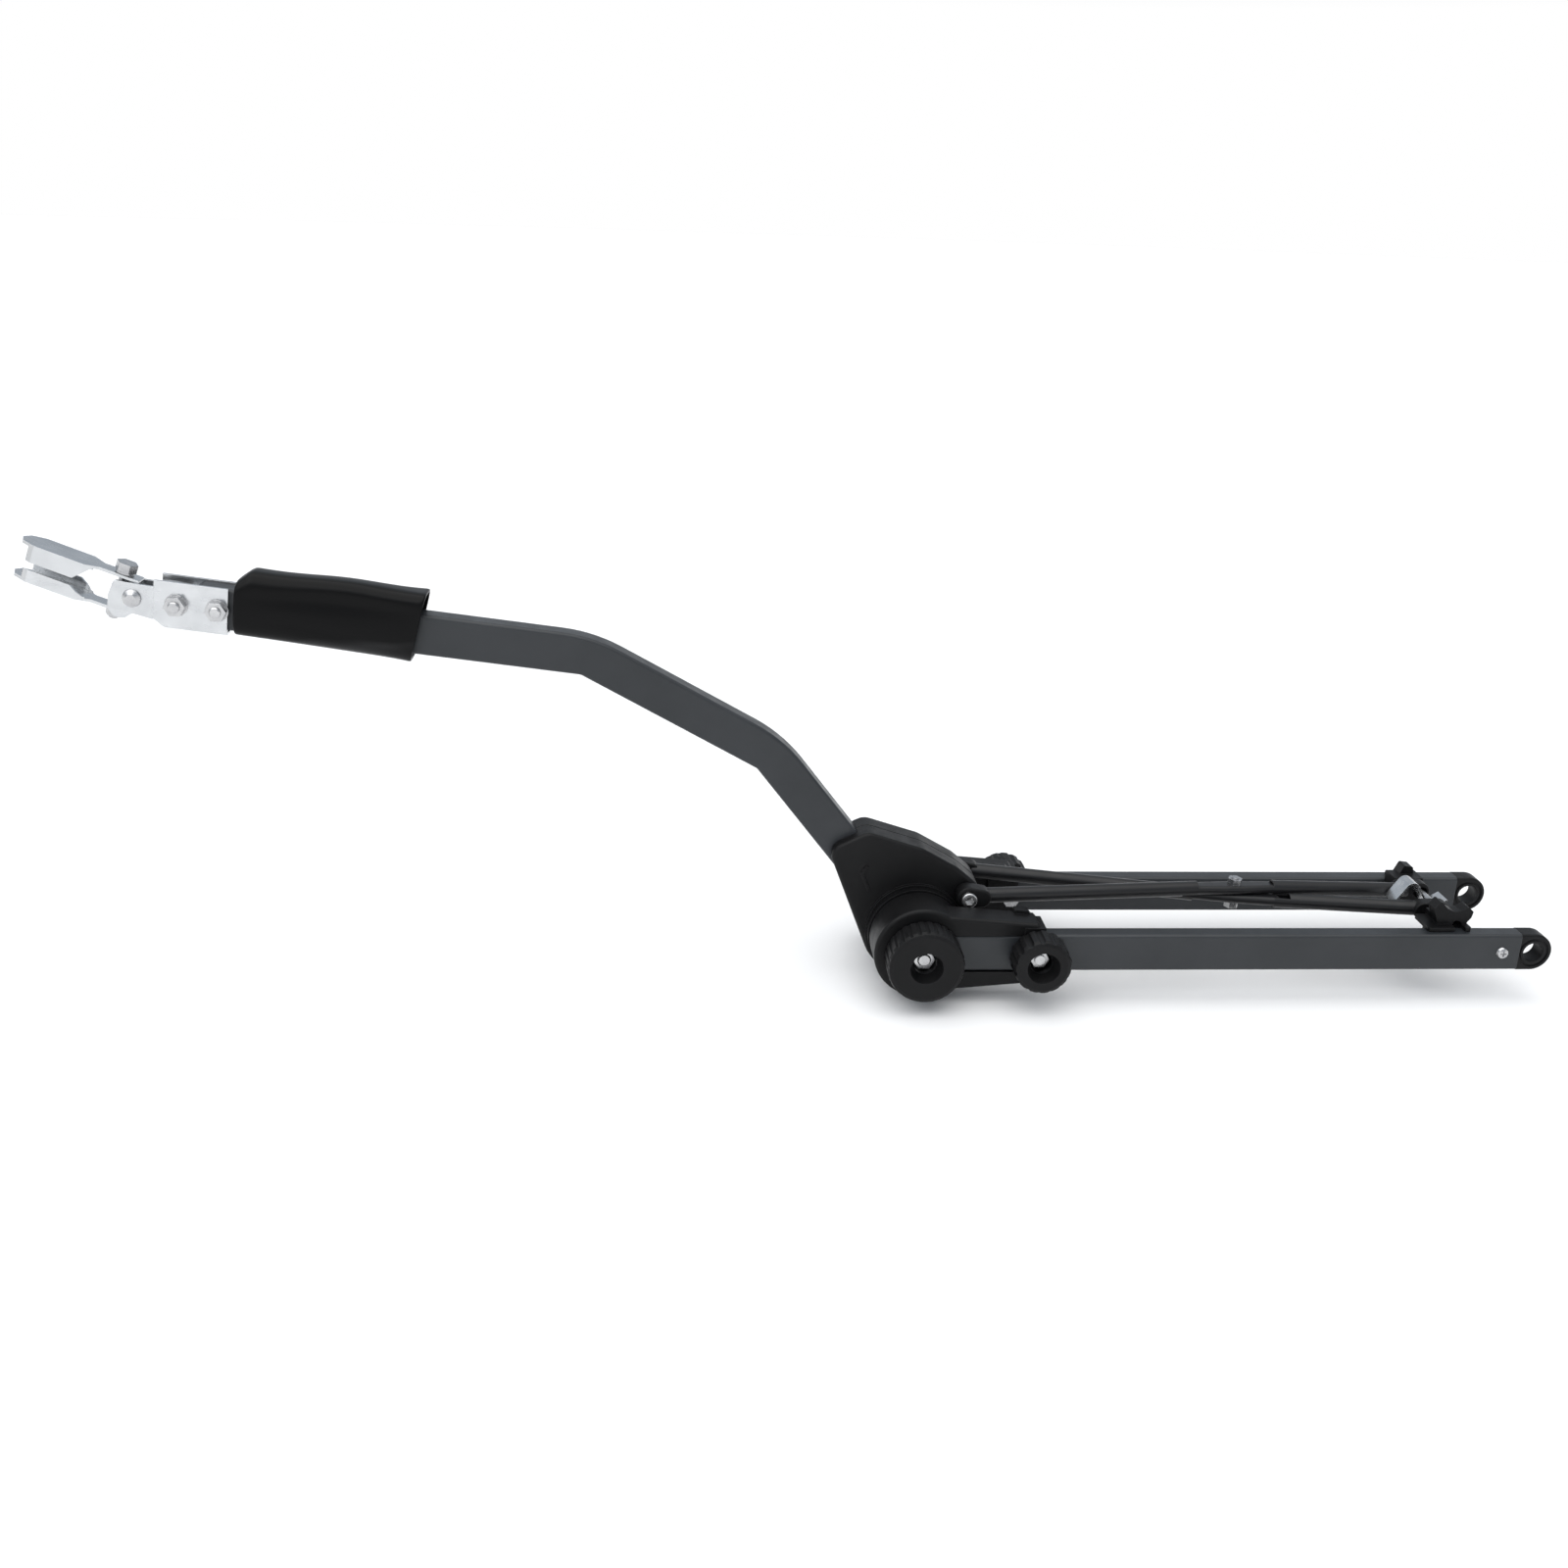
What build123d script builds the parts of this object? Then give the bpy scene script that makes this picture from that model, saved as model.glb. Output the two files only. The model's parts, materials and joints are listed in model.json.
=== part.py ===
"""Clamp-on folding bicycle tow arm.

Two parallel side arms with eye ends are held in brackets on both sides of a
toothed hub.  A bent boom swings on the hub and carries a sheet-steel jaw clamp
at its far end.  A crossed pair of rods ties the boom's fin to a carriage that
slides along the side arms.

Working frame: the hub axis is the Y axis, +X points to the eyes, +Z is up.
`save` moves every part so that the handed-in origin is midway between the eyes.
"""
from build123d import *

import os
from math import atan2, cos, degrees, radians, sin, tan

# ---------------------------------------------------------------- arms
ARM_HEIGHT = 30.0
ARM_WIDTH = 15.0
ARM_WALL = 1.6
ARM_CORNER = 2.5
ARM_Y = 54.0  # middle plane of each side arm
ARM_START = 24.0
ARM_END = 468.0
EYE_X = 479.0
EYE_BORE = 8.0
CAP_SCREW_X = 454.0
CAP_TONGUE = 28.0
CAP_GROOVE = (9.8, 12.2, 1.2)  # inner radius, outer radius and depth of the ring round an eye
CAP_SCREW_RADIUS = 2.25
ARM_INNER = ARM_Y - ARM_WIDTH / 2
ARM_OUTER = ARM_Y + ARM_WIDTH / 2
ARM_TOP = ARM_HEIGHT / 2

# ---------------------------------------------------------------- hub
HOUSING_HALF = 19.0
HOUSING_WALL = 3.2
HOOK_RISE = 1.6
SEAM = 0.6  # chamfer of each shell at the parting plane
HUB_ROUND = 41.0
HUB_RING = 39.0
RING_FACE = 22.0
DISC_RADIUS = 37.5
DISC_FACE = 22.4
DISC_BACK = 28.0
DISC_TEETH = 36
TEETH_START = 26.0  # inner radius of the teeth
TOOTH_GROOVE = 1.6
BOSS_RADIUS = 36.5
BUSH_RADIUS = 9.0
AXLE_RADIUS = 5.0
AXLE_WASHER = 2.0
KNOB_WASHER = 0.8
RUN = 0.05  # radial running clearance
PARTING = 0.15

# ---------------------------------------------------------------- brackets
BRACKET_FACE = 62.5
BRACKET_WEB = 41.5
BRACKET_END = 94.0
BRIDGE_START = 77.0
BRIDGE_FACE = 63.8
CLEAR = 0.15  # between an arm and its bracket

# ---------------------------------------------------------------- knobs
MAIN_KNOB_RADIUS = 29.0
ARM_KNOB_RADIUS = 21.8
KNOB_FACE = 87.0
ARM_KNOB_X = 88.0
ARM_BOLT_RADIUS = 4.0
RECESS_RADIUS = 8.6
RECESS_DEPTH = 20.5
KNOB_BOLT_END = -73.2

# ---------------------------------------------------------------- boom
BOOM_HEIGHT = 30.0
BOOM_WIDTH = 18.0
BOOM_WALL = 1.6
BOOM_LINE = [(-524.0, 248.2), (-251.7, 215.1), (-115.7, 140.2), (-22.0, 20.4)]
BOOM_OUTER_BEND = 120.0
BOOM_INNER_BEND = 6.0
BOOM_TILT = degrees(atan2(248.2 - 215.1, 524.0 - 251.7))

# ---------------------------------------------------------------- crossed rods
FIN_PIN = (38.5, 32.0)
CARRIAGE_PIN = (420.0, 17.0)
ROD_RADIUS = 6.0
ROD_FLAT = 7.2
ROD_CROSS_X = 258.0
ROD_HUB_Y = 25.5
ROD_FAR_Y = 19.0
ROD_WALL = 1.2
ROD_SHARE = 0.03  # share of the way between the bolts that each rod end spans
ROD_GAP = 0.1  # half the gap between the flattened rods, and under the nut
ROD_CROSS = (ROD_CROSS_X - FIN_PIN[0]) / (CARRIAGE_PIN[0] - FIN_PIN[0])
ROD_TILT = degrees(atan2(FIN_PIN[1] - CARRIAGE_PIN[1], CARRIAGE_PIN[0] - FIN_PIN[0]))
ROD_FLAT_HALF = 32.0  # half the length of the flattened stretch
ROD_FLAT_WIDTH = 14.4
ROD_CUT_HALF = 44.0  # half the length over which the rods are pressed flat against each other
FIN_BOLT_RADIUS = 4.0
FIN_HEAD_RADIUS = 6.0
FIN_NUT = 12.0  # across flats
TIE_BOLT_RADIUS = 3.0
TIE_HEAD_RADIUS = 3.9
TIE_NUT = 10.0  # across flats

# ---------------------------------------------------------------- carriage, from its bolt
WAIST = (-15.5, 8.0)
NEAR_FOOT = (-25.0, 9.0)
FAR_FOOT = (-12.0, 8.0)
NEAR_WING = [(-14, -1.5), (-20, 14), (-15.5, 21), (-9, 14.5), (-3.5, 12), (2, 12.5), (7.5, 16),
             (12, 12), (11, 7), (8, 3), (8.5, -1.5)]
FAR_WING = [(-11, -1.5), (-4.5, 13), (3, 12), (5.5, -1.5)]

# ---------------------------------------------------------------- sleeve
SLEEVE_START = -500.0
SLEEVE_END = -371.0
SLEEVE_HEIGHT = 53.0
SLEEVE_WIDTH = 33.0
SLEEVE_WALL = 2.6
SLEEVE_RISE = 7.3  # middle of the sleeve above the middle of the boom

# ---------------------------------------------------------------- jaw clamp
CLAMP_START = -555.0
CLAMP_END = -504.0
CLAMP_HEIGHT = 34.0
CLAMP_PLATE = 2.5
CLAMP_INNER = BOOM_WIDTH / 2 + 0.2
HEAD_PLATE = 2.5
HEAD_HALF = 9.0
HEAD_PIVOT = (-539.0, 250.0)
TUBE_BOLT = (-511.0, 246.6)
CLAMP_BOLT_RADIUS = 4.0
JAW_PIN = (-570.0, 254.0)
JAW_TILT = 21.0
JAW_PLATE = 2.0
JAW_HALF = 12.5
JAW_TOP = 12.5
JAW_BOTTOM = -14.5
JAW_TIP = -82.0
JAW_ROOT = -36.0
NECK_HALF = 6.2
KNUCKLE_RADIUS = 1.5
KNUCKLE_Z = JAW_TOP - KNUCKLE_RADIUS
PINCH_X = -11.0  # clamp screw, along the jaws from the jaw pin
PINCH_RADIUS = 3.0
WASHER_GAP = 0.7  # between the upper jaw and the washer of the clamp screw
WASHER_THICK = 1.6


# ================================================================ helpers
def slab(sketch, low, high):
    """A flat piece drawn in (x, z), reaching from y = low to y = high."""
    return Pos(0, high, 0) * extrude(Plane.XZ * sketch, high - low)


def pin(radius, low, high, at=(0.0, 0.0)):
    """A round bar along Y."""
    return slab(Pos(*at) * Circle(radius), low, high)


def hexagon(across_flats, low, high, at=(0.0, 0.0)):
    """A hexagonal bar along Y."""
    return slab(Pos(*at) * RegularPolygon(across_flats / 2, 6, major_radius=False), low, high)


def block(x0, x1, y0, y1, z0, z1):
    """A box from its two corners."""
    return Pos((x0 + x1) / 2, (y0 + y1) / 2, (z0 + z1) / 2) * Box(x1 - x0, y1 - y0, z1 - z0)


def outline(points):
    """A closed polygon in (x, z)."""
    return make_face(Polyline(*points, close=True))


def hull(circles):
    """The shape of a belt drawn tight round circles given as (x, z, radius)."""
    edges = [(Pos(x, z) * Circle(r)).edge() for x, z, r in circles]
    return make_hull(edges)


def bar(start, end, radius):
    """A round bar between two points."""
    run = Vector(*end) - Vector(*start)
    return Plane(origin=start, z_dir=run) * Cylinder(
        radius, run.length, align=(Align.CENTER, Align.CENTER, Align.MIN)
    )


def turned(profile):
    """A body of revolution round Y; the profile is a list of (radius, y)."""
    return revolve(make_face(Polyline(*profile, close=True)), Axis.Y)


def across(shape):
    """The same part on the other side arm."""
    return mirror(shape, about=Plane.XZ)


def tilt(shape, at, angle):
    """Turn a part about the Y axis through a point (x, z)."""
    return Pos(at[0], 0, at[1]) * Rot(0, angle, 0) * shape


def save(name, *solids):
    """Write one node; several solids are identical loose pieces."""
    moved = [Pos(-EYE_X, 0, 0) * solid for solid in solids]
    shape = moved[0] if len(moved) == 1 else Compound(children=moved)
    export_step(shape, f"parts/{name}.step")


def save_pair(name, solid):
    """Write a part for the near side and its mirror image for the far side."""
    save(f"near_{name}", solid)
    save(f"far_{name}", across(solid))


# ================================================================ side arms
def side_arm():
    """Rectangular steel tube with cross holes for the knob bolt and cap screw."""
    length = ARM_END - ARM_START
    middle = (ARM_START + ARM_END) / 2
    outer = Box(length, ARM_WIDTH, ARM_HEIGHT)
    outer = fillet(outer.edges().filter_by(Axis.X), ARM_CORNER)
    inner = Box(length + 2, ARM_WIDTH - 2 * ARM_WALL, ARM_HEIGHT - 2 * ARM_WALL)
    inner = fillet(inner.edges().filter_by(Axis.X), ARM_CORNER - ARM_WALL)
    tube = Pos(middle, -ARM_Y, 0) * (outer - inner)
    tube -= pin(ARM_BOLT_RADIUS + 0.2, -ARM_OUTER - 1, -ARM_INNER + 1, (ARM_KNOB_X, 0))
    tube -= pin(2.7, -ARM_OUTER - 1, -ARM_Y, (CAP_SCREW_X, 0))
    return tube


def end_cap():
    """Moulded eye that plugs into the open end of the arm."""
    radius = ARM_HEIGHT / 2
    head = Pos(EYE_X, 0) * Circle(radius) + Pos((ARM_END + EYE_X) / 2, 0) * Rectangle(
        EYE_X - ARM_END, ARM_HEIGHT
    )
    head -= Pos(ARM_END - radius, 0) * Rectangle(2 * radius, 2 * radius)
    eye = slab(head, -ARM_OUTER, -ARM_INNER)
    rims = eye.edges().filter_by(GeomType.CIRCLE) + eye.edges().filter_by(Axis.X)
    eye = fillet(rims, 1.6)
    gap = 0.1
    tongue_width = ARM_WIDTH - 2 * ARM_WALL - 2 * gap
    tongue_height = ARM_HEIGHT - 2 * ARM_WALL - 2 * gap
    tongue = Box(CAP_TONGUE, tongue_width, tongue_height)
    tongue = fillet(tongue.edges().filter_by(Axis.X), ARM_CORNER - ARM_WALL)
    cap = eye + Pos(ARM_END - CAP_TONGUE / 2, -ARM_Y, 0) * tongue
    inner, outer, depth = CAP_GROOVE
    for face, inward in ((-ARM_OUTER, depth), (-ARM_INNER, -depth)):
        low, high = sorted((face, face + inward))
        cap -= pin(outer, low, high, (EYE_X, 0)) - pin(inner, low, high, (EYE_X, 0))
    cap -= pin(EYE_BORE, -ARM_OUTER - 1, -ARM_INNER + 1, (EYE_X, 0))
    cap -= pin(CAP_SCREW_RADIUS + RUN, -ARM_OUTER, -ARM_Y + 4, (CAP_SCREW_X, 0))
    return cap


def cap_screw():
    """Cross-recessed pan head screw that holds a cap in its arm."""
    head = turned([(0, -2.6), (2.2, -2.6), (4.0, -1.9), (4.8, -0.4), (4.8, 0), (0, 0)])
    slots = Box(1.1, 2.2, 4.6) + Box(4.6, 2.2, 1.1)
    head -= Pos(0, -2.2, 0) * slots
    screw = head + pin(CAP_SCREW_RADIUS, 0, 10.0)
    return Pos(CAP_SCREW_X, -ARM_OUTER, 0) * screw


# ================================================================ brackets
def bracket():
    """Moulded bracket: a boss on the hub and a channel that the arm lies in."""
    boss = pin(BOSS_RADIUS, -BRACKET_FACE, -DISC_BACK)
    boss = fillet(boss.edges().filter_by(GeomType.CIRCLE), 2.5)
    side = outline([(0, 32.3), (BRACKET_END - 7, 24.8), (BRACKET_END, 17), (BRACKET_END, -17),
                    (BRACKET_END - 7, -24.8), (0, -32.3)])
    channel = slab(side, -BRACKET_FACE, -BRACKET_WEB)
    front = channel.edges().filter_by_position(Axis.Y, -BRACKET_FACE - 0.1, -BRACKET_FACE + 0.1)
    channel = fillet(front.filter_by(Axis.Z, reverse=True), 2.5)
    bridge = slab(outline([(BRIDGE_START, 22), (BRACKET_END - 1, 22), (BRACKET_END - 1, -22),
                           (BRIDGE_START, -22)]), -BRIDGE_FACE, -BRACKET_WEB)
    lug = slab(outline([(68, 20), (72, 29), (82, 28), (91, 18), (91, 5), (68, 5)]),
               -BRACKET_WEB - 4, -BRACKET_WEB + 3.5)
    lug = fillet(lug.edges().filter_by(Axis.Y).filter_by_position(Axis.Z, 25, 30), 2.5)
    body = boss + channel + bridge + lug
    hollow = ARM_TOP + CLEAR
    body -= block(ARM_START - 1, BRACKET_END + 1, -ARM_OUTER - CLEAR, -ARM_INNER + CLEAR,
                  -hollow, hollow)
    body -= block(ARM_START - 1, BRIDGE_START, -BRACKET_FACE - 1, -ARM_OUTER, -hollow, hollow)
    body -= pin(AXLE_RADIUS + 0.1, -BRACKET_FACE - 1, 0)
    body -= pin(ARM_BOLT_RADIUS + 0.1, -BRIDGE_FACE - 1, 0, (ARM_KNOB_X, 0))
    body -= pin(9.0, -BRACKET_WEB, 0, (ARM_KNOB_X, 0))
    return body


def toothed_disc():
    """Ring of radial teeth fixed to the bracket; it faces the housing."""
    disc = pin(DISC_RADIUS, -DISC_BACK, -DISC_FACE) - pin(BUSH_RADIUS, -DISC_BACK, -DISC_FACE)
    disc = chamfer(disc.edges().filter_by(GeomType.CIRCLE).sort_by(Axis.Y)[-1:], 0.4)
    reach = DISC_RADIUS - TEETH_START + 2
    groove = Box(reach, TOOTH_GROOVE, TOOTH_GROOVE)
    groove = Pos((DISC_RADIUS + TEETH_START) / 2, -DISC_FACE, 0) * groove
    grooves = [Rot(0, 360 / DISC_TEETH * i, 0) * groove for i in range(DISC_TEETH)]
    return disc - grooves


def pivot_bush():
    """Steel bush between the brackets that the housing turns on."""
    return pin(BUSH_RADIUS, -DISC_BACK, DISC_BACK) - pin(AXLE_RADIUS + 0.1, -30, 30)


def axle_bolt():
    """Long hex bolt through the hub; its head is on the far side."""
    seat = BRACKET_FACE + AXLE_WASHER
    shank = chamfer(pin(AXLE_RADIUS, KNOB_BOLT_END, seat).edges().sort_by(Axis.Y)[:1], 0.8)
    return shank + hexagon(17, seat, seat + 6.4)


def axle_washer():
    """Plain washer under the head of the axle bolt."""
    return pin(11, BRACKET_FACE, BRACKET_FACE + AXLE_WASHER) - pin(AXLE_RADIUS + 0.2, 60, 70)


def knob_washer():
    """Thin washer that the main knob turns against."""
    ring = pin(20, -BRACKET_FACE - KNOB_WASHER, -BRACKET_FACE)
    return ring - pin(AXLE_RADIUS + 0.2, -70, -60)


def arm_bolt():
    """Hex bolt through the bracket and the arm, for the small knob."""
    head = hexagon(13, -BRACKET_WEB, -BRACKET_WEB + 5.3, (ARM_KNOB_X, 0))
    shank = pin(ARM_BOLT_RADIUS, KNOB_BOLT_END, -BRACKET_WEB, (ARM_KNOB_X, 0))
    return head + shank


# ================================================================ knobs
def knob(radius, back, lobes, notch, bore):
    """Round grip knob with a funnel recess; the face points to -Y."""
    face = -KNOB_FACE
    rim = 3.6
    profile = make_face(Polyline(
        (0, back), (radius - 2, back), (radius, back - 2), (radius, face + rim),
        (radius - 1.1, face + 1.1), (radius - rim, face), (12.5, face), (RECESS_RADIUS, face + 9),
        (RECESS_RADIUS, face + RECESS_DEPTH), (0, face + RECESS_DEPTH), close=True))
    body = revolve(profile, Axis.Y)
    cutter = pin(notch, face - 1, back + 1, (radius + notch * 0.45, 0))
    body -= [Rot(0, 360 / lobes * i, 0) * cutter for i in range(lobes)]
    return body - pin(bore + RUN, face - 1, back + 1)


def knob_nut(across_flats, bore, depth):
    """Hex nut seen at the bottom of a knob's recess."""
    seat = -KNOB_FACE + RECESS_DEPTH
    nut = hexagon(across_flats, seat - depth, seat)
    return nut - pin(bore + RUN, seat - depth - 1, seat + 1)


# ================================================================ housing
def housing_outline(inset=0.0):
    """Fin-shaped side view: round at the hub, with a nose for the rod bolt."""
    x, z = FIN_PIN
    return hull([
        (0, 0, HUB_ROUND - inset),
        (x, z, 10.5 - inset),
        (22, 38, 16.5 - inset),
        (-5, 48, 21 - inset),
        (-39, 67, 13 - inset),
        (-56, 61, 11 - inset),
    ])


def boom_sketch(grow=0.0):
    """Side view of the bent tube: wide bends outside, creases inside."""
    half = BOOM_HEIGHT / 2 + grow
    upper = offset_line(BOOM_LINE, half)
    lower = offset_line(BOOM_LINE, -half)
    sketch = outline(upper + lower[::-1])
    for point in upper[1:3]:
        sketch = fillet(sketch.vertices().sort_by_distance((*point, 0))[:1], BOOM_OUTER_BEND)
    for point in lower[1:3]:
        sketch = fillet(sketch.vertices().sort_by_distance((*point, 0))[:1], BOOM_INNER_BEND)
    return sketch


def offset_line(points, distance):
    """Points of a bent line moved sideways, with mitred corners."""
    moved = []
    for i, (x, z) in enumerate(points):
        before = points[max(i - 1, 0)]
        after = points[min(i + 1, len(points) - 1)]
        first = atan2(z - before[1], x - before[0]) if i else None
        last = atan2(after[1] - z, after[0] - x) if i < len(points) - 1 else None
        first = last if first is None else first
        last = first if last is None else last
        mean = (first + last) / 2
        reach = distance / cos((last - first) / 2)
        moved.append((x - reach * sin(mean), z + reach * cos(mean)))
    return moved


SHELL_SCREWS = [(-27, 55), (8, 40), (-33, -12), (20, -27)]


def housing_shell():
    """Near half of the fin housing, open towards the parting plane."""
    shell = slab(housing_outline(), -HOUSING_HALF, -PARTING)
    rim = shell.edges().filter_by_position(Axis.Y, -HOUSING_HALF - 0.1, -HOUSING_HALF + 0.1)
    shell = fillet(rim, 3.0)
    shell = chamfer(shell.edges().filter_by_position(Axis.Y, -PARTING - 0.1, -PARTING + 0.1), SEAM)
    floor = HOUSING_HALF - HOUSING_WALL
    shell -= slab(housing_outline(HOUSING_WALL), -floor, 0)
    shell += pin(16, -floor - 1, -PARTING)
    shell += pin(9, -floor - 1, -PARTING, FIN_PIN)
    for place in SHELL_SCREWS:
        shell += pin(4.5, -floor - 1, -PARTING, place)
    grip = slab(boom_sketch(2.5), -floor - 1, -PARTING)
    shell += grip & slab(housing_outline(1.0), -floor - 1, -PARTING)
    shell += pin(HUB_RING, -RING_FACE, -floor)
    half_tube = BOOM_WIDTH / 2 + 0.1
    shell -= slab(boom_sketch(0.1), -half_tube, 1)
    shell -= pin(HUB_RING - 5, -RING_FACE - 1, -HOUSING_HALF) - pin(18, -RING_FACE - 1, -10)
    shell -= pin(BUSH_RADIUS + RUN, -30, 1)
    shell -= pin(FIN_BOLT_RADIUS + 0.1, -30, 1, FIN_PIN)
    hook = outline([(-40, 54), (-43, 51), (-44.5, 47), (-38.5, 33), (-36.5, 34), (-42, 47),
                    (-41, 50), (-38.5, 52.5)])
    shell += slab(hook, -HOUSING_HALF - HOOK_RISE, -HOUSING_HALF + 0.5)
    return shell


def near_shell():
    """Near housing shell with pilot holes for the screws."""
    shell = housing_shell()
    for place in SHELL_SCREWS:
        shell -= pin(1.6, -HOUSING_HALF + 3, 1, place)
    return shell


def far_shell():
    """Far housing shell with countersunk holes for the screws."""
    shell = across(housing_shell())
    for place in SHELL_SCREWS:
        shell -= pin(1.9, -1, 30, place)
        shell -= pin(3.6, HOUSING_HALF - 2.2, 30, place)
    return shell


def shell_screw(place):
    """Pan head screw through the far shell into the near one."""
    seat = HOUSING_HALF - 2.2
    head = pin(3.4, seat, seat + 2.0) - Pos(0, seat + 2, 0) * Box(4, 2, 0.8)
    return Pos(place[0], 0, place[1]) * (head + pin(1.6, -12, seat))


# ================================================================ boom
def boom_tube():
    """Bent rectangular steel tube with a bolt hole at its clamp end."""
    tube = slab(boom_sketch(), -BOOM_WIDTH / 2, BOOM_WIDTH / 2)
    sides = tube.faces().filter_by(Axis.Y).edges()
    ends = sides.sort_by(Axis.X)[:2] + sides.sort_by(Axis.X)[-2:]
    tube = fillet([edge for edge in sides if edge not in ends], ARM_CORNER)
    half = BOOM_WIDTH / 2 - BOOM_WALL
    tube -= slab(boom_sketch(-BOOM_WALL), -half, half)
    for x, z, toward in (boom_end(0, 1), boom_end(-1, -2)):
        opening = Box(8, 2 * half, BOOM_HEIGHT - 2 * BOOM_WALL)
        tube -= Pos(x, 0, z) * Rot(0, -degrees(toward), 0) * opening
    tube -= pin(CLAMP_BOLT_RADIUS + 0.2, -20, 20, TUBE_BOLT)
    return tube


def boom_end(index, neighbour):
    """An end point of the boom's middle line and the direction it runs in."""
    x, z = BOOM_LINE[index]
    other = BOOM_LINE[neighbour]
    return x, z, atan2(other[1] - z, other[0] - x)


def boom_plug():
    """Black plastic plug in the clamp end of the boom."""
    x, z, _ = boom_end(0, 1)
    width = BOOM_WIDTH - 2 * BOOM_WALL - 0.2
    height = BOOM_HEIGHT - 2 * BOOM_WALL - 0.2
    plug = block(-1.5, 7, -width / 2, width / 2, -height / 2, height / 2)
    flange = block(-1.5, -0.1, -BOOM_WIDTH / 2 + 0.5, BOOM_WIDTH / 2 - 0.5, -14, 14)
    return tilt(plug + flange, (x, z), BOOM_TILT)


def sleeve():
    """Loose rubber sleeve on the straight end of the boom."""
    middle = (SLEEVE_START + SLEEVE_END) / 2
    at = (middle, BOOM_LINE[1][1] + (BOOM_LINE[1][0] - middle) * tan(radians(BOOM_TILT)))
    length = SLEEVE_END - SLEEVE_START
    skin = Box(length, SLEEVE_WIDTH, SLEEVE_HEIGHT)
    skin = fillet(skin.edges().filter_by(Axis.X), 15)
    hollow = Box(length + 2, SLEEVE_WIDTH - 2 * SLEEVE_WALL, SLEEVE_HEIGHT - 2 * SLEEVE_WALL)
    hollow = fillet(hollow.edges().filter_by(Axis.X), 15 - SLEEVE_WALL)
    return tilt(Pos(0, 0, SLEEVE_RISE) * (skin - hollow), at, BOOM_TILT)


# ================================================================ crossed rods
def rod_line(t, side):
    """A point on a rod: t is 0 at the fin bolt and 1 at the carriage bolt."""
    x = FIN_PIN[0] + (CARRIAGE_PIN[0] - FIN_PIN[0]) * t
    z = FIN_PIN[1] + (CARRIAGE_PIN[1] - FIN_PIN[1]) * t
    y = side * (ROD_HUB_Y - (ROD_HUB_Y + ROD_FAR_Y) * t)
    return x, y, z


def rod_bends(side):
    """The four points of a rod's middle line: two ends and two bends."""
    lift = -side * (ROD_FLAT / 2 + ROD_GAP)
    share = ROD_FLAT_HALF / (CARRIAGE_PIN[0] - FIN_PIN[0])
    first = rod_line(ROD_CROSS - share, side)
    second = rod_line(ROD_CROSS + share, side)
    return (
        rod_line(ROD_SHARE, side),
        (first[0], first[1], first[2] + lift),
        (second[0], second[1], second[2] + lift),
        rod_line(1 - ROD_SHARE, side),
    )


def cross_rod(side):
    """Steel tube flattened where it crosses its twin; side is -1 when it starts near."""
    start, first, second, end = rod_bends(side)
    rod = bar(start, first, ROD_RADIUS) + bar(second, end, ROD_RADIUS)
    rod -= bar(start, first, ROD_RADIUS - ROD_WALL) + bar(second, end, ROD_RADIUS - ROD_WALL)
    wide = ROD_FLAT_WIDTH / 2
    plan = hull([(-ROD_FLAT_HALF, 0, ROD_RADIUS), (-wide, 0, wide), (wide, 0, wide),
                 (ROD_FLAT_HALF, 0, ROD_RADIUS)])
    flat = Pos(0, 0, -ROD_FLAT / 2) * extrude(plan, ROD_FLAT)
    flat = fillet(flat.faces().filter_by(Axis.Z).edges(), ROD_FLAT / 2 - 0.4)
    swing = degrees(atan2(second[1] - first[1], second[0] - first[0]))
    middle = (Vector(*first) + Vector(*second)) * 0.5
    flat = Pos(*middle) * Rot(0, ROD_TILT, 0) * Rot(0, 0, swing) * flat
    rod += flat
    low, high = (0, 30) if side > 0 else (-30, 0)
    away = block(-ROD_CUT_HALF, ROD_CUT_HALF, -20, 20, low, high)
    away += Cylinder(TIE_BOLT_RADIUS + 0.1, 60)
    return rod - tilt(Pos(0, 0, -side * ROD_GAP) * away, crossing_place(), ROD_TILT)


def hub_rod_end(side):
    """Moulded eye that joins a rod to the fin bolt."""
    inner = side * (HOUSING_HALF + 0.5)
    outer = side * (ROD_HUB_Y + ROD_RADIUS + 0.4)
    low, high = sorted((inner, outer))
    x, z = FIN_PIN
    shape = slab(hull([(x, z, 8.8), (x + 10.5, z - 0.4, 7.3)]), low, high)
    shape = fillet(shape.faces().filter_by(Axis.Y).edges(), 1.5)
    shape -= bar(*rod_bends(side)[:2], ROD_RADIUS + 0.02)
    shape -= pin(FIN_BOLT_RADIUS + RUN, low - 1, high + 1, FIN_PIN)
    seat_low, seat_high = sorted((outer + side, outer - side * 3.5))
    pocket = FIN_HEAD_RADIUS + 0.3 if side < 0 else FIN_NUT / 2 / cos(radians(30)) + 0.2
    shape -= pin(pocket, seat_low, seat_high, FIN_PIN)
    return shape


def carriage_rod_end(side):
    """Moulded eye with a short slot for the carriage bolt."""
    middle = -side * ROD_FAR_Y
    low = middle - 5.5
    high = middle + 5.5
    x, z = CARRIAGE_PIN
    shape = slab(hull([(x, z, 7.8), (x - 15, z + 0.5, 7.1)]), low, high)
    shape = fillet(shape.faces().filter_by(Axis.Y).edges(), 1.2)
    shape -= bar(*rod_bends(side)[2:], ROD_RADIUS + 0.02)
    slot = hull([(x - 1.2, z, TIE_BOLT_RADIUS + 1.7), (x + 1.2, z, TIE_BOLT_RADIUS + 1.7)])
    return shape - slab(slot, low - 1, high + 1)


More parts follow.
